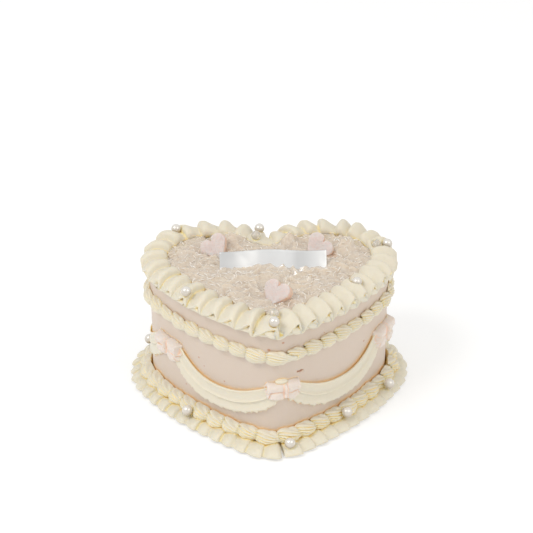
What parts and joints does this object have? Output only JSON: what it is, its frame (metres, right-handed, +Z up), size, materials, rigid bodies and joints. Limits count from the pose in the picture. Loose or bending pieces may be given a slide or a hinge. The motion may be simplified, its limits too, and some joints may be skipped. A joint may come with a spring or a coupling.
{
  "type": "heart shaped cake",
  "caption": "Heart shaped layer cake with a folded icing ruffle round the top, piped shells, side garlands with bows, pearls and a jelly covered top.",
  "frame": {"origin": "middle of the footprint, on the plane the cake stands on", "axes": "+Z up; +X across the lobes to the right; +Y towards the cleft between the lobes, so the tip of the heart points to -Y"},
  "size_m": [0.2043, 0.179, 0.1098],
  "materials": {
    "blush": "smooth matte buttercream, pale blush",
    "cream": "soft matte buttercream, warm cream",
    "pink": "soft matte buttercream, pale pink",
    "jelly": "crushed clear jelly, wet and glossy",
    "clear": "clear glossy jelly beads",
    "sugar": "pale pink sweet dusted with sugar",
    "pearl": "pearly white sugar shell",
    "silver": "satin silver foil card, blank"
  },
  "bodies": {
    "root": {"cake_body": "blush", "top_ruffle": "cream", "upper_shells": "cream", "base_shells": "cream", "base_ruffle": "cream", "swag_1": "cream", "swag_2": "cream", "swag_3": "cream", "swag_4": "cream", "swag_5": "cream", "bow_1": "pink", "bow_2": "pink", "bow_3": "pink", "bow_4": "pink", "bow_5": "pink", "heart_sweet_front": "sugar", "heart_sweet_left": "sugar", "heart_sweet_right": "sugar", "silver_strip": "silver", "filling": "jelly", "top_pearl_1": "pearl", "top_pearl_2": "pearl", "top_pearl_3": "pearl", "top_pearl_4": "pearl", "top_pearl_5": "pearl", "top_pearl_6": "pearl", "clear_bead_1": "clear", "clear_bead_2": "clear", "clear_bead_3": "clear", "foot_pearl_1": "pearl", "foot_pearl_2": "pearl", "foot_pearl_3": "pearl", "foot_pearl_4": "pearl", "foot_pearl_5": "pearl", "foot_pearl_6": "pearl", "foot_pearl_7": "pearl"}
  },
  "joints": []
}
